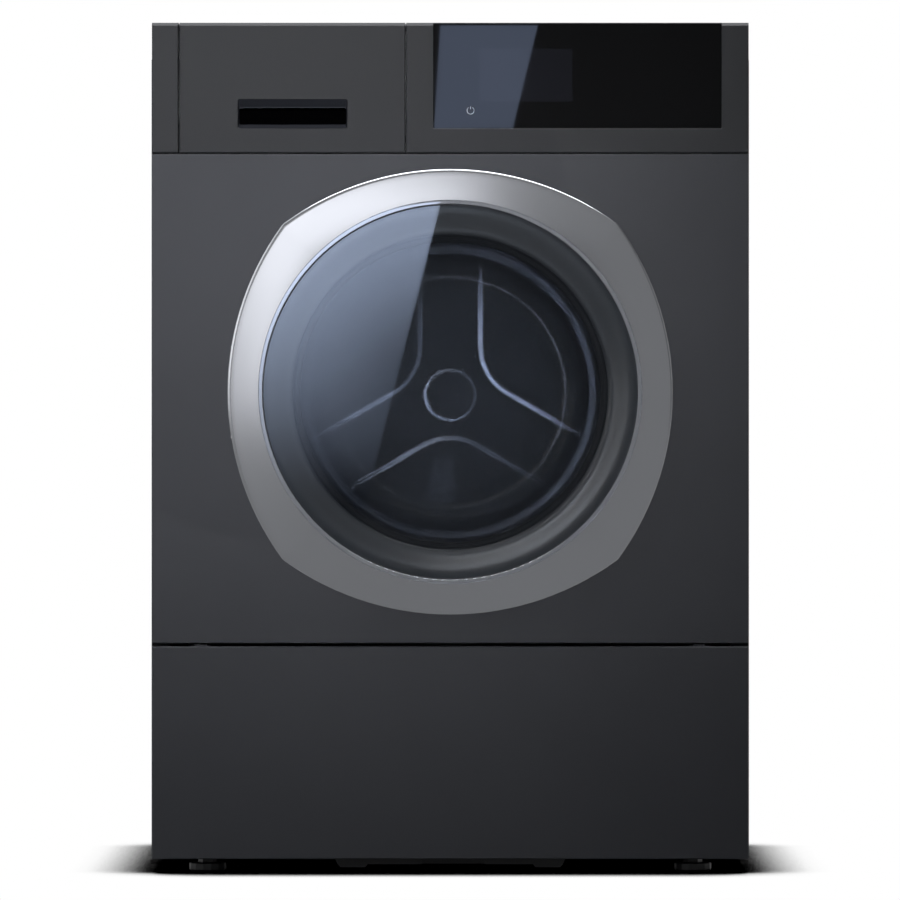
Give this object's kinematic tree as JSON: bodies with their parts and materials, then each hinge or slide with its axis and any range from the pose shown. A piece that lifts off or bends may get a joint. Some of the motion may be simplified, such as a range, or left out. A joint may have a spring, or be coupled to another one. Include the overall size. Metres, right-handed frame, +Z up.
{
  "type": "washing machine",
  "caption": "Front-loading washing machine with hinged round door, sprung tub, belt-driven drum, detergent drawer, filter flap and screw feet.",
  "frame": {"origin": "centre of the bounding box at floor level", "axes": "+Z up, front faces -Y, +X to the right seen from the front"},
  "size_m": [0.598, 0.66, 0.85],
  "materials": {
    "graphite_paint": "satin metallic graphite coat",
    "graphite_moulding": "satin metallic graphite coat on moulded plastic",
    "satin_silver": "satin silver metallised",
    "dark_plastic": "fine-grained matt",
    "grey_plastic": "filled plastic, matt",
    "white_plastic": "plain moulded",
    "black_glass": "black, polished",
    "clear_glass": "clear, polished",
    "seal_rubber": "matt elastomer",
    "drum_steel": "stainless, fine satin",
    "zinc_steel": "zinc coated",
    "cast_metal": "raw casting, painted dark",
    "cast_aluminium": "raw casting"
  },
  "bodies": {
    "cabinet": {"base_frame": "dark_plastic", "base_skid": "dark_plastic", "side_panel_left": "graphite_paint", "side_panel_right": "graphite_paint", "rear_panel": "zinc_steel", "rear_service_cover": "zinc_steel", "worktop": "graphite_moulding", "front_panel": "graphite_paint", "fascia_end_cap": "graphite_moulding", "control_fascia": "graphite_moulding", "control_glass": "black_glass", "display_module": "dark_plastic", "dispenser_housing": "grey_plastic", "inlet_valve": "white_plastic", "drain_pump": "grey_plastic", "drain_hose_inner": "grey_plastic", "mains_inlet": "dark_plastic", "door_lock": "dark_plastic", "hinge_bracket": "zinc_steel", "door_gasket": "seal_rubber", "sump_hose": "seal_rubber", "fill_hose": "seal_rubber", "suspension_spring_left": "zinc_steel", "suspension_spring_right": "zinc_steel", "damper_tube_left": "zinc_steel", "damper_tube_right": "zinc_steel"},
    "tub": {"tub_front": "grey_plastic", "tub_rear": "grey_plastic", "counterweight_upper": "cast_metal", "counterweight_lower": "cast_metal", "heater": "zinc_steel", "motor": "cast_aluminium", "drive_belt": "seal_rubber", "damper_rod_left": "zinc_steel", "damper_rod_right": "zinc_steel"},
    "drum": {"drum_front": "drum_steel", "drum_mantle": "drum_steel", "drum_back": "drum_steel", "lifter_1": "grey_plastic", "lifter_2": "grey_plastic", "lifter_3": "grey_plastic", "drum_spider": "cast_aluminium", "drum_pulley": "cast_aluminium"},
    "motor_rotor": {"motor_pulley": "cast_aluminium"},
    "door": {"door_ring": "satin_silver", "cover_pane": "clear_glass", "door_inner_frame": "dark_plastic", "door_back_frame": "dark_plastic", "door_bowl": "clear_glass", "hinge_arm": "zinc_steel", "latch_hook": "zinc_steel"},
    "drawer": {"drawer_front": "graphite_moulding", "drawer_tray": "white_plastic", "siphon_cap": "grey_plastic"},
    "flap": {"service_flap": "graphite_moulding"},
    "filter": {"filter_cap": "dark_plastic"},
    "front_left_foot": {"foot_front_left": "dark_plastic"},
    "front_right_foot": {"foot_front_right": "dark_plastic"},
    "rear_left_foot": {"foot_rear_left": "dark_plastic"},
    "rear_right_foot": {"foot_rear_right": "dark_plastic"}
  },
  "joints": [
    {"name": "door_hinge", "type": "hinge", "parent": "cabinet", "child": "door", "pos_m": [-0.2145, -0.308, 0.481], "axis": [0, 0, -1], "range_deg": [0, 120]},
    {"name": "tub_suspension", "type": "slide", "parent": "cabinet", "child": "tub", "axis": [0, 0, 1], "range_m": [-0.01, 0.01], "stiffness_N_per_m": 7900, "springref_m": 0.0424, "deforming": ["suspension_spring_left", "suspension_spring_right", "fill_hose", "sump_hose", "door_gasket"]},
    {"name": "drum_spin", "type": "hinge", "parent": "tub", "child": "drum", "pos_m": [0, 0, 0.481], "axis": [0, 1, 0], "continuous": true},
    {"name": "motor_spin", "type": "hinge", "parent": "tub", "child": "motor_rotor", "pos_m": [0, 0, 0.145], "axis": [0, 1, 0], "continuous": true},
    {"name": "drawer_slide", "type": "slide", "parent": "cabinet", "child": "drawer", "axis": [0, -1, 0], "range_m": [0, 0.2]},
    {"name": "flap_hinge", "type": "hinge", "parent": "cabinet", "child": "flap", "pos_m": [0, -0.278, 0.0226], "axis": [1, 0, 0], "range_deg": [0, 75]},
    {"name": "filter_turn", "type": "hinge", "parent": "cabinet", "child": "filter", "pos_m": [0.17, -0.2645, 0.095], "axis": [0, 1, 0], "range_deg": [0, 90]},
    {"name": "foot_front_left_adjust", "type": "slide", "parent": "cabinet", "child": "front_left_foot", "axis": [0, 0, -1], "range_m": [0, 0.012]},
    {"name": "foot_front_right_adjust", "type": "slide", "parent": "cabinet", "child": "front_right_foot", "axis": [0, 0, -1], "range_m": [0, 0.012]},
    {"name": "foot_rear_left_adjust", "type": "slide", "parent": "cabinet", "child": "rear_left_foot", "axis": [0, 0, -1], "range_m": [0, 0.012]},
    {"name": "foot_rear_right_adjust", "type": "slide", "parent": "cabinet", "child": "rear_right_foot", "axis": [0, 0, -1], "range_m": [0, 0.012]}
  ],
  "couplings": [
    {"joint": "motor_spin", "follows": "drum_spin", "ratio": 11.2}
  ]
}
